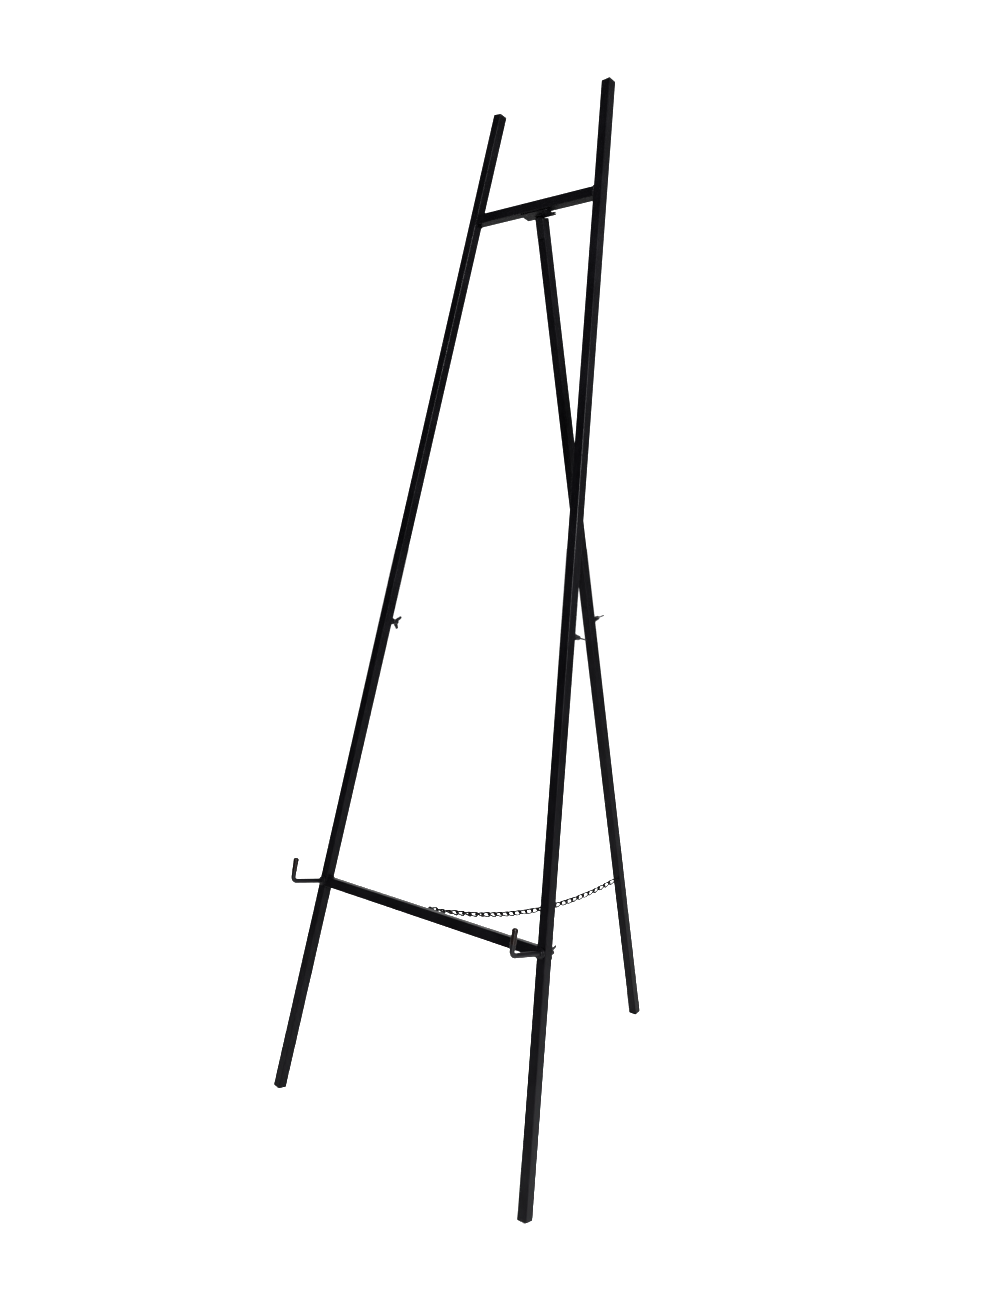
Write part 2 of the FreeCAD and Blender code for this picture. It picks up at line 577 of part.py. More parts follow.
def hook(prefix, side):
    """A bent rod through the leg at the lower bar, with its collar, tip cover and wing nut."""
    height = size("lower_bar_height")
    seat = frame_point(side * half_spacing(height), height, HALF)
    collar_end = size("seat_gap") + size("collar_thickness")
    bend_start = size("hook_reach") - size("hook_bend_radius")
    turn = math.radians(90 - size("hook_splay"))
    bend_end = V(0, size("hook_bend_radius") * (1 - math.cos(turn)),
                 bend_start + size("hook_bend_radius") * math.sin(turn))
    upright = V(0, math.sin(turn), math.cos(turn))
    rod_end = (size("hook_upright") - bend_end.y) / upright.y - size("hook_tip_end")
    shank_start = -(2 * HALF + size("seat_gap") + size("wing_nut_length") + size("shank_past_nut"))

    shank = primitive("Cylinder", prefix + "_shank", shift(z=shank_start),
                      Radius="Sizes.thread_diameter / 2", Height="Sizes.tube_side + 2 * Sizes.seat_gap"
                      " + Sizes.wing_nut_length + Sizes.shank_past_nut + Sizes.collar_thickness")
    arm = primitive("Cylinder", prefix + "_arm", shift(z=collar_end), Radius="Sizes.hook_rod / 2",
                    Height="Sizes.hook_reach - Sizes.hook_bend_radius - Sizes.seat_gap"
                    " - Sizes.collar_thickness")
    bend = primitive("Torus", prefix + "_bend", Radius1="Sizes.hook_bend_radius",
                     Radius2="Sizes.hook_rod / 2", Angle3="90 - Sizes.hook_splay")
    bend.Placement = FreeCAD.Placement(V(0, size("hook_bend_radius"), bend_start),
                                       FreeCAD.Rotation(V(0, -1, 0), V(0, 0, 1), V(-1, 0, 0), "ZXY"))
    rise = FreeCAD.Rotation(V(0, 0, 1), upright)
    riser = primitive("Cylinder", prefix + "_riser", FreeCAD.Placement(bend_end, rise),
                      Radius="Sizes.hook_rod / 2")
    riser.Height = rod_end
    node(fuse(prefix + "_rod", shank, arm, bend, riser), prefix + "_hook", at(seat, OUT_ROTATION))

    collar = primitive("Cylinder", prefix + "_collar_disc", Radius="Sizes.collar_diameter / 2",
                       Height="Sizes.collar_thickness")
    bore = primitive("Cylinder", prefix + "_collar_bore", Radius=THREAD_HOLE,
                     Height="Sizes.collar_thickness")
    node(cut(prefix + "_collar", collar, bore), prefix + "_hook_collar",
         at(seat, OUT_ROTATION, V(0, 0, size("seat_gap"))))

    tip = doc.addObject("PartDesign::Body", prefix + "_tip")
    outline = sketch_on(tip, prefix + "_tip_outline")
    draw_circle(outline, "Sizes.hook_tip_diameter / 2")
    pad = extrude(tip, "Pad", prefix + "_tip_pad", outline, "Sizes.hook_tip_length")
    fillet(tip, prefix + "_tip_rounding", pad, edges_at(pad.Shape, size("hook_tip_length")),
           "Sizes.hook_tip_round")
    socket = sketch_on(tip, prefix + "_tip_socket_outline")
    draw_circle(socket, "Sizes.hook_rod / 2 + Sizes.hook_tip_clearance")
    extrude(tip, "Pocket", prefix + "_tip_socket", socket, "Sizes.hook_tip_length - Sizes.hook_tip_end",
            reverse=True)
    tip_base = bend_end + upright * (rod_end + size("hook_tip_end") - size("hook_tip_length"))
    node(tip, prefix + "_hook_tip", at(seat, OUT_ROTATION.multiply(rise), rise.inverted().multVec(tip_base)))

    back_seat = seat - FRONT * (2 * HALF + size("seat_gap"))
    nut_turn = FreeCAD.Rotation(V(0, 0, 1), HOOK_NUT_TURN[prefix])
    wing_nut(prefix + "_hook", at(back_seat, BACK_ROTATION.multiply(nut_turn)))


# ---------------------------------------------------------------- stay chain

EYE_OUT = size("eye_neck") + size("eye_diameter") / 2           # tube face to the ring's centre
EYE_SLACK = size("eye_diameter") / 2 - 1.5 * size("eye_wire") - size("link_clearance")

def screw_eye(label, placement):
    """A screw eye: Z runs out of the tube's face, and the ring stands in the YZ plane."""
    shank = primitive("Cylinder", label + "_shank", shift(z=-size("eye_thread_depth")),
                      Radius="Sizes.eye_shank_diameter / 2",
                      Height="Sizes.eye_thread_depth + Sizes.eye_neck + Sizes.eye_wire / 2")
    ring = primitive("Torus", label + "_ring", Radius1="(Sizes.eye_diameter - Sizes.eye_wire) / 2",
                     Radius2="Sizes.eye_wire / 2")
    ring.Placement = FreeCAD.Placement(V(0, 0, EYE_OUT), FreeCAD.Rotation(V(0, 1, 0), 90))
    node(fuse(label + "_body", shank, ring), label, placement)


BAR_EYE = frame_point(size("bar_eye_side"), size("lower_bar_height") + size("bar_eye_rise"), -HALF)
LEG_EYE = REAR_FOOT + REAR_UP * size("leg_eye_height") + REAR_FRONT * HALF + RIGHT * size("leg_eye_side")


def hanging_line(start, end, length, count):
    """Points at equal steps along a chain of a given length that hangs between two points."""
    across, drop = math.hypot(end.x - start.x, end.y - start.y), end.z - start.z
    target = math.sqrt(length ** 2 - drop ** 2)
    low, high = across / 20, across * 20
    for _ in range(80):
        middle = (low + high) / 2
        if 2 * middle * math.sinh(across / (2 * middle)) > target:
            low = middle
        else:
            high = middle
    lowest = across / 2 - low * math.atanh(drop / length)
    first = math.sinh(-lowest / low)
    points = []
    for k in range(count + 1):
        along = lowest + low * math.asinh(first + length * k / count / low)
        height = low * (math.cosh((along - lowest) / low) - math.cosh(lowest / low))
        points.append(start + V(end.x - start.x, end.y - start.y, 0) * (along / across) + V(0, 0, height))
    return points


def oval_link():
    """One link: its length along X, flat in the XY plane."""
    wire, bend = size("link_wire") / 2, (size("link_width") - size("link_wire")) / 2
    straight = size("link_pitch") + size("link_wire") + size("link_clearance") - 2 * bend
    pieces = []
    for end in (-1, 1):
        arc = Part.makeTorus(bend, wire, V(0, 0, 0), V(0, 0, 1), -180, 180, 180)
        arc.rotate(V(0, 0, 0), V(0, 0, 1), -90 * end)
        arc.translate(V(end * straight / 2, 0, 0))
        side = Part.makeCylinder(wire, straight, V(-straight / 2, end * bend, 0), V(1, 0, 0))
        pieces += [arc, side]
    return pieces[0].multiFuse(pieces[1:]).removeSplitter()


def chain():
    """The stay chain, every other link turned a quarter, in spans that each have their own node."""
    bar_ring = BAR_EYE - FRONT * EYE_OUT
    leg_ring = LEG_EYE + REAR_FRONT * EYE_OUT
    pull = (leg_ring - bar_ring).normalize()
    slack = EYE_SLACK + (size("link_wire") + size("link_clearance")) / 2
    start, end = bar_ring + pull * slack, leg_ring - pull * slack
    least = start.distanceToPoint(end) * size("chain_slack") / size("link_pitch")
    count = 2 * math.ceil((least - 1) / 2) + 1
    points = hanging_line(start, end, count * size("link_pitch"), count)
    link = oval_link()
    first = 0
    for number, cut_at in enumerate(CHAIN_CUTS, start=1):
        last = round(count * cut_at)
        solids = []
        for k in range(first, last):
            along = (points[k + 1] - points[k]).normalize()
            level = (RIGHT - along * RIGHT.dot(along)).normalize()
            flat = k % 2 == 0
            normal = along.cross(level) if flat else level
            solid = link.copy()
            solid.Placement = FreeCAD.Placement(
                (points[k] + points[k + 1]) * 0.5 - ORIGIN,
                FreeCAD.Rotation(along, normal.cross(along), normal, "ZXY"))
            solids.append(solid)
        span = doc.addObject("Part::Feature", "chain_span_%d_links" % number)
        span.Shape = Part.makeCompound(solids)
        node(span, "chain_span_%d" % number, FreeCAD.Placement())
        first = last
    return points


# ---------------------------------------------------------------- the easel

def build():
    """Makes every sub-part."""
    for prefix, side in SIDES.items():
        foot = frame_point(side * size("foot_half_spacing"), 0)
        leg(prefix, foot, leg_rotation(side), LEG_LENGTH, size("front_lower_length"),
            "Sizes.front_lower_length", "Sizes.lower_bar_height / cos(%f) - Sizes.cap_flange"
            % math.degrees(SPLAY))
    leg("rear", REAR_FOOT, REAR_ROTATION, REAR_LENGTH, size("rear_lower_length"),
        "Sizes.rear_lower_length", eye=True)
    crossbar("top_crossbar", "top_bar_height")
    crossbar("lower_crossbar", "lower_bar_height", eye=True)
    hinge()
    for prefix, side in SIDES.items():
        hook(prefix, side)
    screw_eye("bar_chain_eye", at(BAR_EYE, BACK_ROTATION))
    screw_eye("leg_chain_eye", at(LEG_EYE, turned(RIGHT, REAR_FRONT)))
    chain()
    doc.recompute()


def check():
    """Stops the build if any object failed, or any sub-part has no sound solid."""
    for obj in doc.Objects:
        if {"Invalid", "Error"} & set(obj.State):
            raise RuntimeError("%s failed: %s" % (obj.Name, obj.State))
    for obj in nodes:
        if obj.Shape.isNull() or not obj.Shape.isValid() or not obj.Shape.Solids:
            raise RuntimeError(obj.Label + " has no valid solid")


def export():
    """Writes one STEP file for each sub-part."""
    os.makedirs("parts", exist_ok=True)
    for obj in nodes:
        obj.Shape.exportStep("parts/%s.step" % obj.Label)


build()
check()
export()
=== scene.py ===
"""Looks of a folding field easel of black coated square tube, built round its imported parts."""

import json
import logging
import math
from dataclasses import dataclass, field
from enum import Enum
from typing import Iterable, Sequence

import bmesh
import bpy
from mathutils import Matrix, Quaternion, Vector


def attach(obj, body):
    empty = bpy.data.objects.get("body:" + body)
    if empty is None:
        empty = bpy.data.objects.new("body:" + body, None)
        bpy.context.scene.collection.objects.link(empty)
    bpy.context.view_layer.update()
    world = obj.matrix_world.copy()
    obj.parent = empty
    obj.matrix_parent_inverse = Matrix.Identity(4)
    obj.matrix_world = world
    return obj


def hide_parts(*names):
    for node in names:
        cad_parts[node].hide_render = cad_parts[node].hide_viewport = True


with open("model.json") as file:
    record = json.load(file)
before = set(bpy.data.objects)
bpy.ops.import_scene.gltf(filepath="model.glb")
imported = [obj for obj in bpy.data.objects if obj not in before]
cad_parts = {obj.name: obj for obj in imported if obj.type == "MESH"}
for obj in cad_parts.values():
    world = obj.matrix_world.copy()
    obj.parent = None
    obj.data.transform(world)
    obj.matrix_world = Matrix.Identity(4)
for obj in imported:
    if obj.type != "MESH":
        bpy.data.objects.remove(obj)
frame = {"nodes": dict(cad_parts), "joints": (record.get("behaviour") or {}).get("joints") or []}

logging.basicConfig(level=logging.INFO, format="%(message)s")
log = logging.getLogger("easel")

MM = 0.001
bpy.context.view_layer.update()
RIGHT = Vector((1.0, 0.0, 0.0))


# ---------------------------------------------------------------- finishes

class Shading:
    """Short calls for building one material's node tree."""

    def __init__(self, name: str) -> None:
        """Starts an empty Principled material.

        Args:
            name: The material's name.
        """
        self.material = bpy.data.materials.new(name)
        self.material.use_nodes = True
        self.tree = self.material.node_tree
        self.bsdf = self.tree.nodes["Principled BSDF"]
        coords = self.tree.nodes.new("ShaderNodeTexCoord")
        self.place = coords.outputs["Object"]

    def link(self, source: bpy.types.NodeSocket, target: bpy.types.NodeSocket) -> None:
        """Joins two sockets."""
        self.tree.links.new(source, target)

    def stretched(self, scale: Sequence[float]) -> bpy.types.NodeSocket:
        """Object coordinates stretched along the axes.

        Args:
            scale: Factors along X, Y and Z.

        Returns:
            The mapped vector.
        """
        node = self.tree.nodes.new("ShaderNodeMapping")
        node.inputs["Scale"].default_value = scale
        self.link(self.place, node.inputs["Vector"])
        return node.outputs["Vector"]

    def noise(self, scale: float, detail: float = 3.0, rough: float = 0.5,
              vector: bpy.types.NodeSocket | None = None) -> bpy.types.NodeSocket:
        """A noise pattern.

        Args:
            scale: Cells in a metre.
            detail: Number of finer layers.
            rough: Strength of the finer layers.
            vector: Coordinates, or None for the object's own.

        Returns:
            The noise value, about 0 to 1.
        """
        node = self.tree.nodes.new("ShaderNodeTexNoise")
        node.inputs["Scale"].default_value = scale
        node.inputs["Detail"].default_value = detail
        node.inputs["Roughness"].default_value = rough
        self.link(vector or self.place, node.inputs["Vector"])
        return node.outputs["Fac"]

    def spread(self, value: bpy.types.NodeSocket, low: float, high: float,
               from_low: float = 0.3, from_high: float = 0.7) -> bpy.types.NodeSocket:
        """Maps a value's range onto another.

        Args:
            value: The value to map.
            low: Result at from_low.
            high: Result at from_high.
            from_low: Start of the source range.
            from_high: End of the source range.

        Returns:
            The mapped value, clamped.
        """
        node = self.tree.nodes.new("ShaderNodeMapRange")
        node.inputs["From Min"].default_value = from_low
        node.inputs["From Max"].default_value = from_high
        node.inputs["To Min"].default_value = low
        node.inputs["To Max"].default_value = high
        self.link(value, node.inputs["Value"])
        return node.outputs["Result"]

    def mixed(self, factor: bpy.types.NodeSocket, first: Sequence[float] | bpy.types.NodeSocket,
              second: Sequence[float]) -> bpy.types.NodeSocket:
        """Mixes two colours.

        Args:
            factor: Share of the second colour.
            first: A colour, or a colour socket.
            second: A colour.

        Returns:
            The mixed colour.
        """
        node = self.tree.nodes.new("ShaderNodeMix")
        node.data_type = "RGBA"
        self.link(factor, node.inputs[0])
        if isinstance(first, bpy.types.NodeSocket):
            self.link(first, node.inputs[6])
        else:
            node.inputs[6].default_value = (*first, 1.0)
        node.inputs[7].default_value = (*second, 1.0)
        return node.outputs[2]

    def times(self, first: bpy.types.NodeSocket, second: bpy.types.NodeSocket) -> bpy.types.NodeSocket:
        """The product of two values.

        Args:
            first: One value.
            second: The other.

        Returns:
            Their product.
        """
        node = self.tree.nodes.new("ShaderNodeMath")
        node.operation = "MULTIPLY"
        self.link(first, node.inputs[0])
        self.link(second, node.inputs[1])
        return node.outputs[0]

    def bump(self, layers: Iterable[tuple[bpy.types.NodeSocket, float, float]]) -> None:
        """Stacks bumps and sends them to the surface.

        Args:
            layers: Height, strength and distance in metres of each bump.
        """
        normal = None
        for height, strength, distance in layers:
            node = self.tree.nodes.new("ShaderNodeBump")
            node.inputs["Strength"].default_value = strength
            node.inputs["Distance"].default_value = distance
            self.link(height, node.inputs["Height"])
            if normal is not None:
                self.link(normal, node.inputs["Normal"])
            normal = node.outputs["Normal"]
        self.link(normal, self.bsdf.inputs["Normal"])


@dataclass(frozen=True)
class PowderCoat:
    """Baked black powder: a fine orange-peel skin, faint dust and a few dull rubbed patches."""

    name: str
    colour: tuple[float, float, float] = (0.0030, 0.0029, 0.0035)
    dusty: tuple[float, float, float] = (0.0054, 0.0052, 0.0062)
    rubbed: tuple[float, float, float] = (0.014, 0.013, 0.015)
    specular: float = 0.07
    gloss: tuple[float, float] = (0.28, 0.38)
    peel_scale: float = 1500.0
    peel_depth: float = 0.00006
    speck_scale: float = 2600.0

    def build(self) -> bpy.types.Material:
        """Makes the material.

        Returns:
            The finished material.
        """
        shade = Shading(self.name)
        clouds = shade.spread(shade.noise(16.0, 5.0, 0.62), 0.0, 1.0, 0.38, 0.72)
        specks = shade.spread(shade.noise(self.speck_scale, 2.0, 0.6), 0.0, 0.55, 0.66, 0.76)
        scuffs = shade.noise(190.0, 4.0, 0.7, shade.stretched((1.0, 1.0, 0.10)))
        rubs = shade.times(shade.spread(scuffs, 0.0, 0.5, 0.63, 0.75),
                           shade.spread(shade.noise(7.0, 3.0), 0.0, 1.0, 0.5, 0.68))
        colour = shade.mixed(clouds, self.colour, self.dusty)
        colour = shade.mixed(specks, colour, self.dusty)
        colour = shade.mixed(rubs, colour, self.rubbed)
        shade.link(colour, shade.bsdf.inputs["Base Color"])
        shade.link(shade.spread(shade.noise(60.0, 5.0, 0.65), *self.gloss), shade.bsdf.inputs["Roughness"])
        shade.bsdf.inputs["Specular IOR Level"].default_value = self.specular
        shade.bump([(shade.noise(self.peel_scale, 2.0), 0.35, self.peel_depth),
                    (shade.noise(220.0, 3.0), 0.15, 0.0002)])
        return shade.material


@dataclass(frozen=True)
class Moulding:
    """Black moulded plastic: an even fine grain, softer and duller than the coated tube."""

    name: str
    colour: tuple[float, float, float] = (0.0034, 0.0034, 0.0038)
    worn: tuple[float, float, float] = (0.0080, 0.0078, 0.0078)
    roughness: tuple[float, float] = (0.46, 0.62)
    specular: float = 0.12
    grain_scale: float = 3200.0

    def build(self) -> bpy.types.Material:
        """Makes the material.

        Returns:
            The finished material.
        """
        shade = Shading(self.name)
        wear = shade.spread(shade.noise(240.0, 5.0, 0.7), 0.0, 0.7, 0.52, 0.74)
        shade.link(shade.mixed(wear, self.colour, self.worn), shade.bsdf.inputs["Base Color"])
        shade.link(shade.spread(shade.noise(420.0, 4.0), *self.roughness), shade.bsdf.inputs["Roughness"])
        shade.bsdf.inputs["Specular IOR Level"].default_value = self.specular
        shade.bump([(shade.noise(self.grain_scale, 2.0), 0.4, 0.00005),
                    (shade.noise(300.0, 2.0), 0.12, 0.0002)])
        return shade.material


@dataclass(frozen=True)
class DippedVinyl:
    """A dipped vinyl tip: dark with a brown cast, glossy, its skin slightly uneven."""

    name: str
    colour: tuple[float, float, float] = (0.0042, 0.0030, 0.0030)
    warm: tuple[float, float, float] = (0.0062, 0.0036, 0.0033)
    roughness: tuple[float, float] = (0.24, 0.36)
    specular: float = 0.12
    coat: float = 0.05
    coat_roughness: float = 0.16

    def build(self) -> bpy.types.Material:
        """Makes the material.

        Returns:
            The finished material.
        """
        shade = Shading(self.name)
        drift = shade.spread(shade.noise(150.0, 4.0, 0.6), 0.0, 1.0, 0.35, 0.7)
        shade.link(shade.mixed(drift, self.colour, self.warm), shade.bsdf.inputs["Base Color"])
        shade.link(shade.spread(shade.noise(500.0, 3.0), *self.roughness), shade.bsdf.inputs["Roughness"])
        shade.bsdf.inputs["Specular IOR Level"].default_value = self.specular
        shade.bsdf.inputs["Coat Weight"].default_value = self.coat
        shade.bsdf.inputs["Coat Roughness"].default_value = self.coat_roughness
        shade.bump([(shade.noise(380.0, 3.0), 0.35, 0.00025), (shade.noise(1800.0, 2.0), 0.2, 0.00004)])
        return shade.material


@dataclass(frozen=True)
class BlackenedSteel:
    """Black oxide on steel: metallic, with brighter steel where it rubs and browner patches."""

    name: str
    dark: tuple[float, float, float] = (0.0024, 0.0023, 0.0027)
    rubbed: tuple[float, float, float] = (0.010, 0.010, 0.010)
    brown: tuple[float, float, float] = (0.0085, 0.0060, 0.0048)
    metallic: float = 0.25
    specular: float = 0.12
    roughness: tuple[float, float] = (0.30, 0.48)

    def build(self) -> bpy.types.Material:
        """Makes the material.

        Returns:
            The finished material.
        """
        shade = Shading(self.name)
        rubs = shade.spread(shade.noise(420.0, 4.0, 0.65), 0.0, 0.8, 0.54, 0.72)
        stains = shade.spread(shade.noise(110.0, 4.0), 0.0, 0.7, 0.5, 0.7)
        colour = shade.mixed(stains, self.dark, self.brown)
        shade.link(shade.mixed(rubs, colour, self.rubbed), shade.bsdf.inputs["Base Color"])
        shade.link(shade.spread(shade.noise(600.0, 4.0), *self.roughness), shade.bsdf.inputs["Roughness"])
        shade.bsdf.inputs["Metallic"].default_value = self.metallic
        shade.bsdf.inputs["Specular IOR Level"].default_value = self.specular
        shade.bump([(shade.noise(1300.0, 3.0), 0.3, 0.00006)])
        return shade.material


@dataclass(frozen=True)
class DrawnSteel:
    """Bare drawn steel with fine lines along its length and a thin oil film."""

    name: str
    bright: tuple[float, float, float] = (0.46, 0.46, 0.48)
    dull: tuple[float, float, float] = (0.30, 0.295, 0.29)
    roughness: tuple[float, float] = (0.26, 0.42)

    def build(self) -> bpy.types.Material:
        """Makes the material.

        Returns:
            The finished material.
        """
        shade = Shading(self.name)
        lines = shade.noise(1400.0, 3.0, 0.6, shade.stretched((1.0, 1.0, 0.02)))
        shade.link(shade.mixed(shade.spread(lines, 0.0, 1.0), self.bright, self.dull),
                   shade.bsdf.inputs["Base Color"])
        shade.link(shade.spread(shade.noise(90.0, 4.0), *self.roughness), shade.bsdf.inputs["Roughness"])
        shade.bsdf.inputs["Metallic"].default_value = 1.0
        shade.bump([(lines, 0.15, 0.00005)])
        return shade.material


@dataclass(frozen=True)
class StudioPaper:
    """A pale, even paper sweep."""

    name: str
    colour: tuple[float, float, float] = (0.90, 0.90, 0.90)
    shade_colour: tuple[float, float, float] = (0.87, 0.87, 0.87)

    def build(self) -> bpy.types.Material:
        """Makes the material.

        Returns:
            The finished material.
        """
        shade = Shading(self.name)
        tone = shade.spread(shade.noise(2.0, 3.0), 0.0, 1.0)
        shade.link(shade.mixed(tone, self.colour, self.shade_colour), shade.bsdf.inputs["Base Color"])
        shade.bsdf.inputs["Roughness"].default_value = 0.9
        shade.bsdf.inputs["Specular IOR Level"].default_value = 0.1
        return shade.material


class Finish(Enum):
    """The finishes on the easel and in the studio."""

    TUBE = PowderCoat("black_powder_coat")
    FITTING = PowderCoat("black_fitting_enamel", colour=(0.0034, 0.0033, 0.0039), specular=0.14,
                         gloss=(0.28, 0.42), peel_scale=1900.0)
    HINGE = PowderCoat("black_hinge_paint", colour=(0.0036, 0.0035, 0.0040), specular=0.12,
                       gloss=(0.38, 0.55), peel_scale=1700.0)
    CAP = Moulding("black_moulded_cap")
    TIP = DippedVinyl("dark_dipped_vinyl")
    CHAIN = BlackenedSteel("blackened_wire")
    BARE = DrawnSteel("bare_drawn_steel")
    PAPER = StudioPaper("studio_paper")

    @property
    def material(self) -> bpy.types.Material:
        """The finish's material, made the first time it is asked for."""
        name = self.value.name
        return bpy.data.materials.get(name) or self.value.build()


# ---------------------------------------------------------------- mesh helpers

def new_piece(name: str, mesh: bpy.types.Mesh, finish: Finish, smooth: bool = True) -> bpy.types.Object:
    """Puts a mesh in the scene as an object at the origin.

    Args:
        name: The object's name.
        mesh: Its mesh, already in place.
        finish: Its finish.
        smooth: Whether its faces are smooth shaded.

    Returns:
        The new object.
    """
    mesh.name = name
    mesh.materials.clear()
    mesh.materials.append(finish.material)
    if smooth:
        mesh.polygons.foreach_set("use_smooth", [True] * len(mesh.polygons))
    piece = bpy.data.objects.new(name, mesh)
    bpy.context.scene.collection.objects.link(piece)
    return piece


def mesh_of(bm: bmesh.types.BMesh, name: str, place: Matrix | None = None) -> bpy.types.Mesh:
    """Turns a bmesh into a mesh with its faces outward.

    Args:
        bm: The bmesh, which is freed.
        name: The mesh's name.
        place: Where to put it, or None.

    Returns:
        The mesh.
    """
    bmesh.ops.recalc_face_normals(bm, faces=bm.faces)
    if place is not None:
        bm.transform(place)
    mesh = bpy.data.meshes.new(name)
    bm.to_mesh(mesh)
    bm.free()
    return mesh


def lathe(bm: bmesh.types.BMesh, profile: Sequence[tuple[float, float]], sides: int = 48) -> None:
    """Turns a profile about Z into a closed shape.

    Args:
        bm: Where to add it.
        profile: Radius and height of each ring, from one end to the other.
        sides: Number of sides.
    """
    rings = []
    for radius, height in profile:
        if radius < 1e-7:
            rings.append([bm.verts.new((0.0, 0.0, height))])
            continue
        rings.append([bm.verts.new((radius * math.cos(2 * math.pi * k / sides),
                                    radius * math.sin(2 * math.pi * k / sides), height))
                      for k in range(sides)])
    for low, high in zip(rings, rings[1:]):
        for k in range(sides):
            corners = [low[k % len(low)], low[(k + 1) % len(low)],
                       high[(k + 1) % len(high)], high[k % len(high)]]
            unique = list(dict.fromkeys(corners))
            if len(unique) > 2:
                bm.faces.new(unique)
    for ring in (rings[0], rings[-1]):
        if len(ring) > 1:
            bm.faces.new(ring)


def sweep(bm: bmesh.types.BMesh, path: Sequence[Vector], radii: Sequence[float], sides: int = 32) -> None:
    """Runs a circle along a path that stays in one plane through X.

    Args:
        bm: Where to add it.
        path: Points of the path, in the YZ plane.
        radii: Radius at each point.
        sides: Number of sides.
    """
    rings = []
    for k, (point, radius) in enumerate(zip(path, radii)):
        ahead = (path[min(k + 1, len(path) - 1)] - path[max(k - 1, 0)]).normalized()
        side = ahead.cross(RIGHT)
        rings.append([bm.verts.new(point + (RIGHT * math.cos(a) + side * math.sin(a)) * radius)
                      for a in (2 * math.pi * n / sides for n in range(sides))])
    for low, high in zip(rings, rings[1:]):
        for k in range(sides):
            bm.faces.new((low[k], low[(k + 1) % sides], high[(k + 1) % sides], high[k]))
    bm.faces.new(rings[0])
    bm.faces.new(rings[-1])


def threaded(bm: bmesh.types.BMesh, radius: float, start: float, end: float, pitch: float = 1.0 * MM,
             depth: float = 0.5 * MM, sides: int = 28, rows: int = 6) -> None:
    """A screw thread along Z, with eased ends.

    Args:
        bm: Where to add it.
        radius: Radius over the crests.
        start: Height of one end.
        end: Height of the other end.
        pitch: Distance from crest to crest.
        depth: Depth of the groove.
        sides: Number of sides.
        rows: Rings for each pitch.
    """
    count = int((end - start) / pitch * rows)
    ease = 0.8 * MM
    rings = []
    for k in range(count + 1):
        height = start + (end - start) * k / count
        fade = min(1.0, (height - start) / ease, (end - height) / ease)
        ring = []
        for n in range(sides):
            turn = (height / pitch - n / sides) % 1.0
            groove = depth * abs(2 * turn - 1) if fade > 0 else depth
            r = radius - groove - (1 - fade) * depth * 0.6
            angle = 2 * math.pi * n / sides
            ring.append(bm.verts.new((r * math.cos(angle), r * math.sin(angle), height)))
        rings.append(ring)
    for low, high in zip(rings, rings[1:]):
        for k in range(sides):
            bm.faces.new((low[k], low[(k + 1) % sides], high[(k + 1) % sides], high[k]))
    bm.faces.new(rings[0])
    bm.faces.new(rings[-1])


def joint_named(name: str) -> dict[str, object]:
    """The record of one joint."""
    return next(joint for joint in frame["joints"] if joint["name"] == name)


def joint_place(name: str, turn: float = 0.0) -> Matrix:
    """The frame of a turning joint: Z along its axis, X to the right.

    Args:
        name: The joint's name.
        turn: Degrees turned about Z.

    Returns:
        The frame's matrix, in metres.
    """
    joint = joint_named(name)
    z = Vector(joint["axis"]).normalized()
    y = z.cross(RIGHT).normalized()
    x = y.cross(z)
    basis = Matrix((x, y, z)).transposed().to_4x4()
    return Matrix.Translation(joint["pos_m"]) @ basis @ Matrix.Rotation(math.radians(turn), 4, "Z")


# ---------------------------------------------------------------- geometry nodes

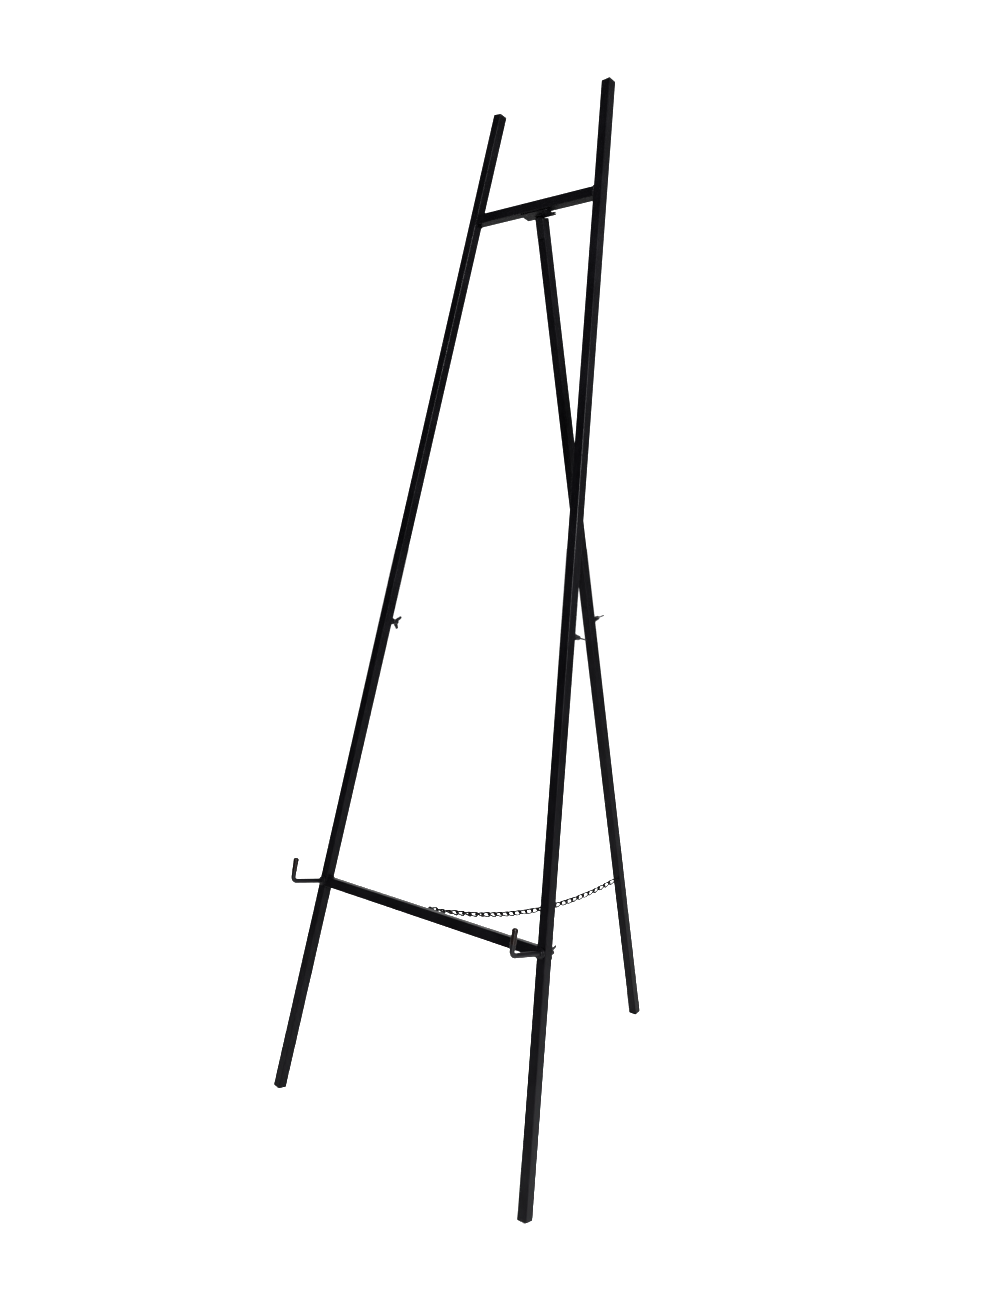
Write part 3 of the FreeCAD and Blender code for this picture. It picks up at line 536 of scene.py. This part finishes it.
class NodeBench:
    """A geometry node tree with named inputs, and the calls that build it."""

    def __init__(self, name: str, inputs: dict[str, tuple[str, object]]) -> None:
        """Starts a tree.

        Args:
            name: The tree's name.
            inputs: Socket type and default value of each named input.
        """
        self.tree = bpy.data.node_groups.new(name, "GeometryNodeTree")
        self.tree.interface.new_socket("Geometry", in_out="INPUT", socket_type="NodeSocketGeometry")
        self.keys = {}
        for label, (kind, value) in inputs.items():
            socket = self.tree.interface.new_socket(label, in_out="INPUT", socket_type=kind)
            self.keys[label] = socket.identifier
            if value is not None:
                socket.default_value = value
        self.tree.interface.new_socket("Geometry", in_out="OUTPUT", socket_type="NodeSocketGeometry")
        self.source = self.tree.nodes.new("NodeGroupInput")
        self.sink = self.tree.nodes.new("NodeGroupOutput")

    def add(self, kind: str, links: dict[str | int, object] | None = None,
            **settings: object) -> bpy.types.Node:
        """Adds a node.

        Args:
            kind: The node's type, without its prefix.
            links: For each input, a socket to join or a plain value.
            settings: Properties of the node.

        Returns:
            The node.
        """
        prefixed = kind if kind.startswith(("Shader", "Function")) else "GeometryNode" + kind
        node = self.tree.nodes.new(prefixed)
        for key, value in settings.items():
            setattr(node, key, value)
        for key, value in (links or {}).items():
            if isinstance(value, bpy.types.NodeSocket):
                self.tree.links.new(value, node.inputs[key])
            else:
                node.inputs[key].default_value = value
        return node

    def math(self, operation: str, *values: object) -> bpy.types.NodeSocket:
        """A number worked out from one, two or three others.

        Args:
            operation: The Math node's operation.
            values: Sockets or plain numbers.

        Returns:
            The result.
        """
        node = self.add("ShaderNodeMath", dict(enumerate(values)), operation=operation)
        return node.outputs[0]

    def finish(self, geometry: bpy.types.NodeSocket) -> None:
        """Ends the tree in real geometry with the Finish input's material.

        Args:
            geometry: What the tree has made.
        """
        real = self.add("RealizeInstances", {"Geometry": geometry})
        dressed = self.add("SetMaterial", {"Geometry": real.outputs[0],
                                           "Material": self.source.outputs["Finish"]})
        self.tree.links.new(dressed.outputs[0], self.sink.inputs[0])

    def run(self, name: str, seed_mesh: bpy.types.Mesh, values: dict[str, object],
            finish: Finish) -> bpy.types.Object:
        """Runs the tree on a mesh and keeps the result as a plain mesh.

        Args:
            name: The new piece's name.
            seed_mesh: The mesh that the tree starts from.
            values: Values of the named inputs.
            finish: The piece's finish.

        Returns:
            The new piece.
        """
        carrier = bpy.data.objects.new(name + "_seed", seed_mesh)
        bpy.context.scene.collection.objects.link(carrier)
        modifier = carrier.modifiers.new("build", "NODES")
        modifier.node_group = self.tree
        for label, value in {**values, "Finish": finish.material}.items():
            modifier[self.keys[label]] = value
        graph = bpy.context.evaluated_depsgraph_get()
        mesh = bpy.data.meshes.new_from_object(carrier.evaluated_get(graph), depsgraph=graph)
        carrier.modifiers.remove(modifier)
        bpy.data.objects.remove(carrier)
        return new_piece(name, mesh, finish)


def link_bench() -> NodeBench:
    """A tree that sets a twisted wire link on every point of a mesh.

    Each point carries its link's turn as a rotation in the attribute "turn".

    Returns:
        The tree, ready to run.
    """
    bench = NodeBench("twisted_links", {
        "Half Length": ("NodeSocketFloat", 0.0055),
        "End Radius": ("NodeSocketFloat", 0.0035),
        "Wire Radius": ("NodeSocketFloat", 0.001),
        "Twist": ("NodeSocketFloat", 1.5),
        "Seed": ("NodeSocketInt", 3),
        "Finish": ("NodeSocketMaterial", None),
    })
    given = bench.source.outputs
    ring = bench.add("CurvePrimitiveCircle", {"Resolution": 40, "Radius": 1.0})
    at = bench.add("InputPosition").outputs[0]
    split = bench.add("ShaderNodeSeparateXYZ", {0: at})
    side = bench.math("SIGN", split.outputs[0])
    long = bench.math("ADD", bench.math("MULTIPLY", split.outputs[0], given["End Radius"]),
                      bench.math("MULTIPLY", side, given["Half Length"]))
    across = bench.math("MULTIPLY", split.outputs[1], given["End Radius"])
    oval = bench.add("SetPosition", {
        "Geometry": ring.outputs[0],
        "Position": bench.add("ShaderNodeCombineXYZ", {0: long, 1: across}).outputs[0]})
    even = bench.add("ResampleCurve", {"Curve": oval.outputs[0], "Count": 44})
    split = bench.add("ShaderNodeSeparateXYZ", {0: at})
    reach = bench.math("ADD", given["Half Length"], given["End Radius"])
    angle = bench.math("MULTIPLY", bench.math("DIVIDE", split.outputs[0], reach),
                       bench.math("MULTIPLY", given["Twist"], 0.5))
    twisted = bench.add("ShaderNodeCombineXYZ", {
        0: split.outputs[0],
        1: bench.math("MULTIPLY", split.outputs[1], bench.math("COSINE", angle)),
        2: bench.math("MULTIPLY", split.outputs[1], bench.math("SINE", angle))})
    wire_path = bench.add("SetPosition", {"Geometry": even.outputs[0], "Position": twisted.outputs[0]})
    wire = bench.add("CurvePrimitiveCircle", {"Resolution": 10, "Radius": given["Wire Radius"]})
    link = bench.add("CurveToMesh", {"Curve": wire_path.outputs[0], "Profile Curve": wire.outputs[0]})
    turn = bench.add("InputNamedAttribute", {"Name": "turn"}, data_type="QUATERNION")
    slack = bench.add("FunctionNodeRandomValue", {"Min": (-0.30, -0.03, -0.03), "Max": (0.30, 0.03, 0.03),
                                                  "Seed": given["Seed"]}, data_type="FLOAT_VECTOR")
    loose = bench.add("FunctionNodeRotateRotation", {
        0: turn.outputs[0],
        1: bench.add("FunctionNodeEulerToRotation", {0: slack.outputs[0]}).outputs[0]},
        rotation_space="LOCAL")
    placed = bench.add("InstanceOnPoints", {"Points": given["Geometry"], "Instance": link.outputs[0],
                                            "Rotation": loose.outputs[0]})
    bench.finish(placed.outputs[0])
    return bench


def weld_bench() -> NodeBench:
    """A tree that lays overlapping weld ripples along a closed loop of edges.

    Returns:
        The tree, ready to run.
    """
    bench = NodeBench("weld_ripples", {
        "Bead Radius": ("NodeSocketFloat", 0.0014),
        "Ripple Pitch": ("NodeSocketFloat", 0.0009),
        "Seed": ("NodeSocketInt", 5),
        "Finish": ("NodeSocketMaterial", None),
    })
    given = bench.source.outputs
    path = bench.add("MeshToCurve", {"Mesh": given["Geometry"]})
    dots = bench.add("CurveToPoints", {"Curve": path.outputs[0], "Length": given["Ripple Pitch"]},
                     mode="LENGTH")
    drop = bench.add("MeshIcoSphere", {"Radius": given["Bead Radius"], "Subdivisions": 1})
    size = bench.add("FunctionNodeRandomValue", {"Min": (0.86, 0.86, 0.62), "Max": (1.12, 1.12, 0.78),
                                                 "Seed": given["Seed"]}, data_type="FLOAT_VECTOR")
    placed = bench.add("InstanceOnPoints", {"Points": dots.outputs["Points"], "Instance": drop.outputs[0],
                                            "Rotation": dots.outputs["Rotation"],
                                            "Scale": size.outputs[0]})
    bench.finish(placed.outputs[0])
    return bench


def loop_mesh(name: str, points: Sequence[Vector], closed: bool = True) -> bpy.types.Mesh:
    """A mesh of edges through points.

    Args:
        name: The mesh's name.
        points: The corners.
        closed: Whether the last point joins the first.

    Returns:
        The mesh.
    """
    edges = [(k, k + 1) for k in range(len(points) - 1)]
    if closed:
        edges.append((len(points) - 1, 0))
    mesh = bpy.data.meshes.new(name)
    mesh.from_pydata([tuple(p) for p in points], edges, [])
    return mesh


# ---------------------------------------------------------------- wing castings

@dataclass
class WingCasting:
    """A die-cast wing head: a tapered hub with two flared, rounded wings."""

    hub_start: float = 7.6 * MM
    hub_length: float = 11.0 * MM
    hub_radius: float = 4.6 * MM
    end_radius: float = 3.5 * MM
    span: float = 23.0 * MM
    tip_radius: float = 2.6 * MM
    flare: float = 2.5 * MM
    rim: float = 1.15 * MM
    web: float = 0.85 * MM
    bore: float = 0.0
    voxel: float = 0.30 * MM

    def rod(self, bm: bmesh.types.BMesh, a: Vector, b: Vector, radius: float) -> None:
        """Adds a round-ended rod between two points.

        Args:
            bm: Where to add it.
            a: One end.
            b: The other end.
            radius: Its radius.
        """
        for end in (a, b):
            bmesh.ops.create_uvsphere(bm, u_segments=16, v_segments=10, radius=radius,
                                      matrix=Matrix.Translation(end))
        turn = Vector((0, 0, 1)).rotation_difference(b - a).to_matrix().to_4x4()
        bmesh.ops.create_cone(bm, cap_ends=True, segments=16, radius1=radius, radius2=radius,
                              depth=(b - a).length, matrix=Matrix.Translation((a + b) / 2) @ turn)

    def wing(self, bm: bmesh.types.BMesh, side: int) -> None:
        """One wing: a thick rounded rim round a thinner web.

        Args:
            bm: Where to add it.
            side: -1 or 1, the side of the hub.
        """
        top = self.hub_start + self.hub_length
        centre = Vector((side * (self.span / 2 - self.tip_radius), 0, top + self.flare))
        low = Vector((side * self.end_radius * 0.7, 0, self.hub_start + self.hub_length * 0.34))
        high = Vector((side * self.end_radius * 0.5, 0, top - self.rim))
        loop = self.tip_radius - self.rim
        tip = [centre + Vector((side * math.cos(a), 0, math.sin(a))) * loop
               for a in (math.radians(-75 + 27 * k) for k in range(8))]
        outline = [low, *tip, high]
        for a, b in zip(outline, outline[1:]):
            self.rod(bm, a, b, self.rim)
        plate = bmesh.new()
        front = [plate.verts.new(p + Vector((0, -self.web, 0))) for p in outline]
        back = [plate.verts.new(p + Vector((0, self.web, 0))) for p in outline]
        plate.faces.new(front)
        plate.faces.new(list(reversed(back)))
        for k in range(len(outline)):
            n = (k + 1) % len(outline)
            plate.faces.new((front[n], front[k], back[k], back[n]))
        bmesh.ops.recalc_face_normals(plate, faces=plate.faces)
        web = bpy.data.meshes.new("web")
        plate.to_mesh(web)
        plate.free()
        bm.from_mesh(web)
        bpy.data.meshes.remove(web)

    def cast(self, name: str, place: Matrix, finish: Finish) -> bpy.types.Object:
        """Melts hub and wings into one casting.

        Args:
            name: The piece's name.
            place: The frame of its axis.
            finish: The piece's finish.

        Returns:
            The casting.
        """
        bm = bmesh.new()
        top = self.hub_start + self.hub_length
        edge = 0.5 * MM
        lathe(bm, [(self.hub_radius - edge, self.hub_start), (self.hub_radius, self.hub_start + edge),
                   (self.end_radius, top - edge), (self.end_radius - edge, top)], 40)
        for side in (-1, 1):
            self.wing(bm, side)
        mesh = bpy.data.meshes.new(name)
        bm.to_mesh(mesh)
        bm.free()
        shape = new_piece(name + "_mould", mesh, finish)
        melt = shape.modifiers.new("melt", "REMESH")
        melt.mode = "VOXEL"
        melt.voxel_size = self.voxel
        soften = shape.modifiers.new("soften", "SMOOTH")
        soften.factor = 0.5
        soften.iterations = 7
        drill = None
        if self.bore:
            hole = bmesh.new()
            lathe(hole, [(self.bore, self.hub_start - 2 * MM), (self.bore, top + 2 * MM)], 40)
            drill = new_piece(name + "_drill", mesh_of(hole, "drill"), finish)
            cut = shape.modifiers.new("bore", "BOOLEAN")
            cut.operation = "DIFFERENCE"
            cut.solver = "EXACT"
            cut.object = drill
        graph = bpy.context.evaluated_depsgraph_get()
        result = bpy.data.meshes.new_from_object(shape.evaluated_get(graph), depsgraph=graph)
        bpy.data.objects.remove(shape)
        if drill is not None:
            bpy.data.objects.remove(drill)
        result.transform(place)
        return new_piece(name, result, finish)


@dataclass
class WingBolt:
    """A wing bolt that clamps a leg's sleeve, with the weld round its nut."""

    leg: str
    body: str
    turn: float
    casting: WingCasting = field(default_factory=WingCasting)
    thread_radius: float = 3.0 * MM
    nut_across: float = 11.0 * MM
    nut_bead: float = 1.0 * MM
    nut_ripple: float = 0.8 * MM

    def build(self, welds: NodeBench, nut_body: str) -> None:
        """Makes the bolt, its thread and the nut's weld.

        Args:
            welds: The weld tree.
            nut_body: The body that carries the welded nut.
        """
        name = self.leg + "_wing_bolt"
        place = joint_place(name + "_spin", self.turn)
        head = self.casting.cast(name + "_head", place, Finish.FITTING)
        bm = bmesh.new()
        threaded(bm, self.thread_radius, -1.0 * MM, self.casting.hub_start + 0.6 * MM)
        shank = new_piece(name + "_thread", mesh_of(bm, "thread", place), Finish.FITTING)
        for piece in (head, shank):
            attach(piece, self.body)
        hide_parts(name)
        seat = joint_place(name + "_spin")
        radius = self.nut_across / math.sqrt(3)
        corners = [seat @ Vector((radius * math.cos(a), radius * math.sin(a), 0.0))
                   for a in (math.radians(60 * k) for k in range(6))]
        bead = welds.run(self.leg + "_nut_weld", loop_mesh("nut_loop", corners),
                         {"Bead Radius": self.nut_bead, "Ripple Pitch": self.nut_ripple, "Seed": 11},
                         Finish.TUBE)
        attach(bead, nut_body)
        log.info("%s: cast head, thread and nut weld", name)


# ---------------------------------------------------------------- board hooks

@dataclass
class BoardHook:
    """A bent rod hook with a dipped tip, a turned collar, a threaded end and its wing nut."""

    side: str
    nut_turn: float
    rod: float = 4.0 * MM
    reach: float = 63.0 * MM
    upright: float = 38.0 * MM
    bend: float = 8.0 * MM
    tip_radius: float = 4.8 * MM
    tip_length: float = 22.0 * MM
    tip_end: float = 1.5 * MM
    tip_dome: float = 3.9 * MM
    collar_radius: float = 7.5 * MM
    collar_start: float = 0.1 * MM
    collar_thickness: float = 2.6 * MM
    tube: float = 16.0 * MM
    nut_length: float = 9.0 * MM
    past_nut: float = 2.5 * MM
    thread_radius: float = 3.0 * MM

    def path(self) -> list[Vector]:
        """The rod's centre line, from the collar round the bend to its end under the tip.

        Returns:
            Points in the hook's own frame.
        """
        start = self.collar_start + self.collar_thickness * 0.5
        bend_start = self.reach - self.bend
        turn = math.radians(90)
        points = [Vector((0, 0, start + (bend_start - start) * k / 10)) for k in range(11)]
        for k in range(1, 17):
            a = turn * k / 16
            points.append(Vector((0, self.bend * (1 - math.cos(a)), bend_start + self.bend * math.sin(a))))
        rise = Vector((0, math.sin(turn), math.cos(turn)))
        left = (self.upright - points[-1].y) / rise.y - self.tip_end
        points += [points[-1] + rise * left * k / 6 for k in range(1, 7)]
        return points

    def build_rod(self, place: Matrix) -> bpy.types.Object:
        """The coated rod and its threaded end.

        Args:
            place: The hook's frame.

        Returns:
            The rod.
        """
        bm = bmesh.new()
        path = self.path()
        sweep(bm, path, [self.rod] * len(path))
        shank_end = -(self.tube + 2 * self.collar_start + self.nut_length + self.past_nut)
        inside = -self.tube + 2.0 * MM
        lathe(bm, [(self.thread_radius, inside), (self.thread_radius, self.collar_start + 1.0 * MM)], 28)
        threaded(bm, self.thread_radius, shank_end, inside + 0.5 * MM)
        return new_piece(self.side + "_hook_rod", mesh_of(bm, "rod", place), Finish.FITTING)

    def build_tip(self, place: Matrix) -> bpy.types.Object:
        """The dipped tip: a soft lip, a slight waist and a domed end.

        Args:
            place: The hook's frame.

        Returns:
            The tip.
        """
        path = self.path()
        rise = (path[-1] - path[-2]).normalized()
        base = path[-1] + rise * (self.tip_end - self.tip_length)
        r, length = self.tip_radius, self.tip_length
        profile = [(self.rod + 0.02 * MM, 0.9 * MM), (self.rod + 0.02 * MM, 0.0), (r - 0.62 * MM, 0.0),
                   (r - 0.45 * MM, 0.2 * MM), (r - 0.40 * MM, 0.6 * MM), (r - 0.46 * MM, 2.5 * MM),
                   (r - 0.48 * MM, 7.0 * MM), (r - 0.42 * MM, 11.0 * MM), (r - 0.25 * MM, 14.5 * MM),
                   (r - 0.05 * MM, 17.0 * MM), (r, 18.0 * MM)]
        dome = self.tip_dome
        for k in range(1, 11):
            a = math.radians(90 * k / 10)
            profile.append((r * math.cos(a) ** 0.9 if k < 10 else 0.0, length - dome + dome * math.sin(a)))
        bm = bmesh.new()
        lathe(bm, profile, 40)
        turn = Vector((0, 0, 1)).rotation_difference(rise).to_matrix().to_4x4()
        return new_piece(self.side + "_hook_dip",
                         mesh_of(bm, "tip", place @ Matrix.Translation(base) @ turn), Finish.TIP)

    def build_collar(self, place: Matrix) -> bpy.types.Object:
        """The collar that stops the hook against the leg, its edges eased.

        Args:
            place: The hook's frame.

        Returns:
            The collar.
        """
        low = self.collar_start
        high = low + self.collar_thickness
        r = self.collar_radius
        ease = 0.45 * MM
        bm = bmesh.new()
        lathe(bm, [(self.thread_radius, low), (r - ease, low), (r - 0.12 * MM, low + ease * 0.35),
                   (r, low + ease), (r, high - ease), (r - 0.12 * MM, high - ease * 0.35),
                   (r - ease, high), (self.rod + 0.8 * MM, high), (self.rod + 0.25 * MM, high + 0.25 * MM),
                   (self.rod - 0.05 * MM, high + 0.9 * MM)], 48)
        return new_piece(self.side + "_hook_seat_collar", mesh_of(bm, "collar", place), Finish.FITTING)

    def build(self) -> None:
        """Makes the hook and its wing nut."""
        body = self.side + "_hook"
        place = joint_place(body + "_turn")
        rod, tip, collar = self.build_rod(place), self.build_tip(place), self.build_collar(place)
        for piece, node, slot in ((rod, body, "hook"), (tip, body + "_tip", "tip_plastic"),
                                  (collar, body + "_collar", "hook")):
            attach(piece, body)
            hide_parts(node)
        casting = WingCasting(hub_start=0.0, hub_length=self.nut_length, end_radius=4.0 * MM,
                              bore=self.thread_radius + 0.06 * MM)
        nut = casting.cast(body + "_nut_casting", joint_place(body + "_nut_spin", self.nut_turn),
                           Finish.FITTING)
        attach(nut, body + "_nut")
        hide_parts(body + "_wing_nut")
        log.info("%s: rod, dipped tip, collar and wing nut", body)


# ---------------------------------------------------------------- stay chain

@dataclass
class StayChain:
    """The stay chain of twisted wire links, in spans that each ride on their own body."""

    spans: tuple[int, ...] = (8, 9, 1, 7, 6)
    pitch: float = 15.2 * MM
    wire: float = 1.50 * MM
    width: float = 9.8 * MM
    clearance: float = 0.35 * MM
    twist: float = math.radians(86)
    first_roll: float = 0.35
    roll_step: float = 0.045

    def pivot(self, span: int) -> Vector:
        """Where a span hangs from, at rest."""
        return Vector(joint_named("chain_span_%d_swing" % span)["pos_m"])

    def hanging_line(self) -> list[Vector]:
        """The chain's hanging curve, cut into equal steps.

        Returns:
            Where each link meets the next, from the bar to the rear leg.
        """
        start, end = self.pivot(1), self.pivot(5)
        count = sum(self.spans)
        length = count * self.pitch
        level = Vector((end.x - start.x, end.y - start.y, 0.0))
        across, drop = level.length, end.z - start.z
        target = math.sqrt(length ** 2 - drop ** 2)
        low, high = across / 20, across * 20
        for _ in range(80):
            middle = (low + high) / 2
            if 2 * middle * math.sinh(across / (2 * middle)) > target:
                low = middle
            else:
                high = middle
        lowest = across / 2 - low * math.atanh(drop / length)
        first = math.sinh(-lowest / low)
        points = []
        for k in range(count + 1):
            along = lowest + low * math.asinh(first + length * k / count / low)
            height = low * (math.cosh((along - lowest) / low) - math.cosh(lowest / low))
            points.append(start + level * (along / across) + Vector((0, 0, height)))
        return points

    def build(self) -> None:
        """Makes one piece for each span."""
        bench = link_bench()
        points = self.hanging_line()
        end_radius = self.width / 2 - self.wire
        half = (self.pitch + 2 * self.wire + self.clearance) / 2 - end_radius
        first = 0
        for number, links in enumerate(self.spans, start=1):
            centres, turns = [], []
            for k in range(first, first + links):
                along = (points[k + 1] - points[k]).normalized()
                flat = (RIGHT - along * RIGHT.dot(along)).normalized()
                basis = Matrix((along, flat, along.cross(flat))).transposed()
                roll = Quaternion((1, 0, 0), self.first_roll + self.roll_step * k)
                centres.append((points[k] + points[k + 1]) / 2)
                turns.append(basis.to_quaternion() @ roll)
            seed = loop_mesh("link_points", centres, closed=False)
            seed.attributes.new("turn", "QUATERNION", "POINT")
            for place, turn in zip(seed.attributes["turn"].data, turns):
                place.value = turn
            name = "chain_span_%d" % number
            span = bench.run(name + "_links", seed, {
                "Half Length": half, "End Radius": end_radius, "Wire Radius": self.wire,
                "Twist": self.twist, "Seed": 20 + number}, Finish.CHAIN)
            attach(span, name)
            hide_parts(name)
            first += links
        log.info("stay chain: %d twisted links in %d spans", first, len(self.spans))


# ---------------------------------------------------------------- tube frame

@dataclass
class TubeFrame:
    """The coated tubes with their caps, sleeves, screw eyes and the welds that join them."""

    bead: float = 1.3 * MM
    ripple: float = 0.9 * MM
    bead_lift: float = 0.2 * MM

    def dress(self) -> None:
        """Gives every carried-over node its finish."""
        kinds = (("_cap", Finish.CAP), ("_sleeve", Finish.BARE), ("_eye", Finish.CHAIN),
                 ("hinge_pin", Finish.BARE), ("hinge_", Finish.HINGE))
        for name, node in frame["nodes"].items():
            finish = next((f for word, f in kinds if word in name), Finish.TUBE)
            node.data.materials.clear()
            node.data.materials.append(finish.material)
        log.info("%d packed nodes dressed", len(frame["nodes"]))

    def bar_end_loop(self, bar: str, side: int) -> list[Vector]:
        """The outline where a crossbar's end meets its leg.

        Args:
            bar: The crossbar's node.
            side: -1 for the left end, 1 for the right.

        Returns:
            Corners of the loop.
        """
        mesh = frame["nodes"][bar].data
        points = [v.co.copy() for v in mesh.vertices]
        front = Vector(joint_named("left_hook_turn")["axis"]).normalized()
        up = front.cross(RIGHT)
        corners = []
        for a, b in ((1, 1), (1, -1), (-1, -1), (-1, 1)):
            key = front * a + up * b
            corners.append(max(points, key=lambda p: p.dot(key) + side * p.x * 0.3))
        centre = sum(corners, Vector()) / 4
        return [c + (c - centre).normalized() * self.bead_lift for c in corners]

    def weld(self, welds: NodeBench) -> None:
        """Lays a bead round both ends of both crossbars.

        Args:
            welds: The weld tree.
        """
        for bar in ("top_crossbar", "lower_crossbar"):
            for side, word in ((-1, "left"), (1, "right")):
                bead = welds.run("%s_%s_weld" % (bar, word),
                                 loop_mesh("weld_loop", self.bar_end_loop(bar, side)),
                                 {"Bead Radius": self.bead, "Ripple Pitch": self.ripple,
                                  "Seed": 40 + side},
                                 Finish.TUBE)
                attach(bead, "frame")
        log.info("crossbar welds laid")


# ---------------------------------------------------------------- studio

@dataclass(frozen=True)
class Softbox:
    """A soft light that faces the easel: its place, its two sides and its power in watts."""

    name: str
    at: tuple[float, float, float]
    width: float
    height: float
    power: float
    aim: tuple[float, float, float] = (0.0, 0.0, 0.8)

    def build(self) -> None:
        """Hangs the light."""
        data = bpy.data.lights.new(self.name, "AREA")
        data.shape = "RECTANGLE"
        data.energy = self.power
        data.size = self.width
        data.size_y = self.height
        light = bpy.data.objects.new(self.name, data)
        light.location = self.at
        light.rotation_mode = "QUATERNION"
        light.rotation_quaternion = (Vector(self.aim) - Vector(self.at)).to_track_quat("-Z", "Y")
        bpy.context.scene.collection.objects.link(light)


@dataclass
class Studio:
    """A pale floor, a sky that is brighter behind the easel, soft lights and the camera."""

    camera_at: tuple[float, float, float] = (1.19531, -1.38422, 0.93350)
    yaw: float = 0.7374
    pitch: float = -0.1124
    lens: float = 31.07
    bright_side: tuple[float, float, float] = (0.25, 0.97, 0.10)
    sky_range: tuple[float, float] = (0.12, 1.0)
    sky_fade: tuple[float, float] = (-0.9, 0.6)
    lights: tuple[Softbox, ...] = (
        Softbox("key_softbox", (2.1, -1.8, 2.3), 0.3, 0.3, 330.0),
        Softbox("edge_strip", (2.0, -1.75, 0.75), 0.12, 2.6, 60.0),
        Softbox("overhead_softbox", (0.2, 0.6, 3.6), 2.4, 2.4, 70.0),
    )

    def build_floor(self) -> None:
        """A wide, flat, round floor."""
        bm = bmesh.new()
        profile = [(0.0, -0.02), (40.0, -0.02), (40.0, 0.0), (20.0, 0.0), (8.0, 0.0), (3.0, 0.0), (0.0, 0.0)]
        lathe(bm, profile, 96)
        floor = new_piece("studio_floor", mesh_of(bm, "floor"), Finish.PAPER, smooth=False)

    def build_sky(self) -> None:
        """A soft sky: dim on the front side, bright on the far side."""
        world = bpy.data.worlds.new("studio_sky")
        world.use_nodes = True
        tree = world.node_tree
        coords = tree.nodes.new("ShaderNodeTexCoord")
        along = tree.nodes.new("ShaderNodeVectorMath")
        along.operation = "DOT_PRODUCT"
        along.inputs[1].default_value = Vector(self.bright_side).normalized()
        tree.links.new(coords.outputs["Generated"], along.inputs[0])
        ramp = tree.nodes.new("ShaderNodeMapRange")
        ramp.interpolation_type = "SMOOTHSTEP"
        ramp.inputs["From Min"].default_value = self.sky_fade[0]
        ramp.inputs["From Max"].default_value = self.sky_fade[1]
        ramp.inputs["To Min"].default_value = self.sky_range[0]
        ramp.inputs["To Max"].default_value = self.sky_range[1]
        tree.links.new(along.outputs["Value"], ramp.inputs["Value"])
        tree.links.new(ramp.outputs["Result"], tree.nodes["Background"].inputs["Strength"])
        tree.nodes["Background"].inputs["Color"].default_value = (1.0, 1.0, 1.0, 1.0)
        bpy.context.scene.world = world

    def build_camera(self) -> None:
        """The camera, at the easel's right front."""
        data = bpy.data.cameras.new("camera")
        data.lens, data.sensor_width = self.lens, 36.0
        data.clip_start, data.clip_end = 0.05, 90.0
        camera = bpy.data.objects.new("camera", data)
        camera.location = self.camera_at
        camera.rotation_mode = "QUATERNION"
        ahead = Vector((-math.sin(self.yaw) * math.cos(self.pitch),
                        math.cos(self.yaw) * math.cos(self.pitch), math.sin(self.pitch)))
        camera.rotation_quaternion = ahead.to_track_quat("-Z", "Y")
        bpy.context.scene.collection.objects.link(camera)
        bpy.context.scene.camera = camera

    def build(self) -> None:
        """Sets the whole studio."""
        self.build_floor()
        self.build_sky()
        for softbox in self.lights:
            softbox.build()
        self.build_camera()
        settings = bpy.context.scene.view_settings
        settings.view_transform = "Standard"
        settings.look = "Very High Contrast"
        log.info("studio set")


def main() -> None:
    """Builds the easel's looks in order and sets the studio."""
    tube_frame = TubeFrame()
    tube_frame.dress()
    welds = weld_bench()
    tube_frame.weld(welds)
    WingBolt("left", "left_wing_bolt", 105.5).build(welds, "frame")
    WingBolt("right", "right_wing_bolt", 8.5).build(welds, "frame")
    WingBolt("rear", "rear_wing_bolt", -20.0).build(welds, "rear_leg")
    BoardHook("left", 5.0).build()
    BoardHook("right", 103.0).build()
    StayChain().build()
    Studio().build()


if __name__ == "__main__":
    main()
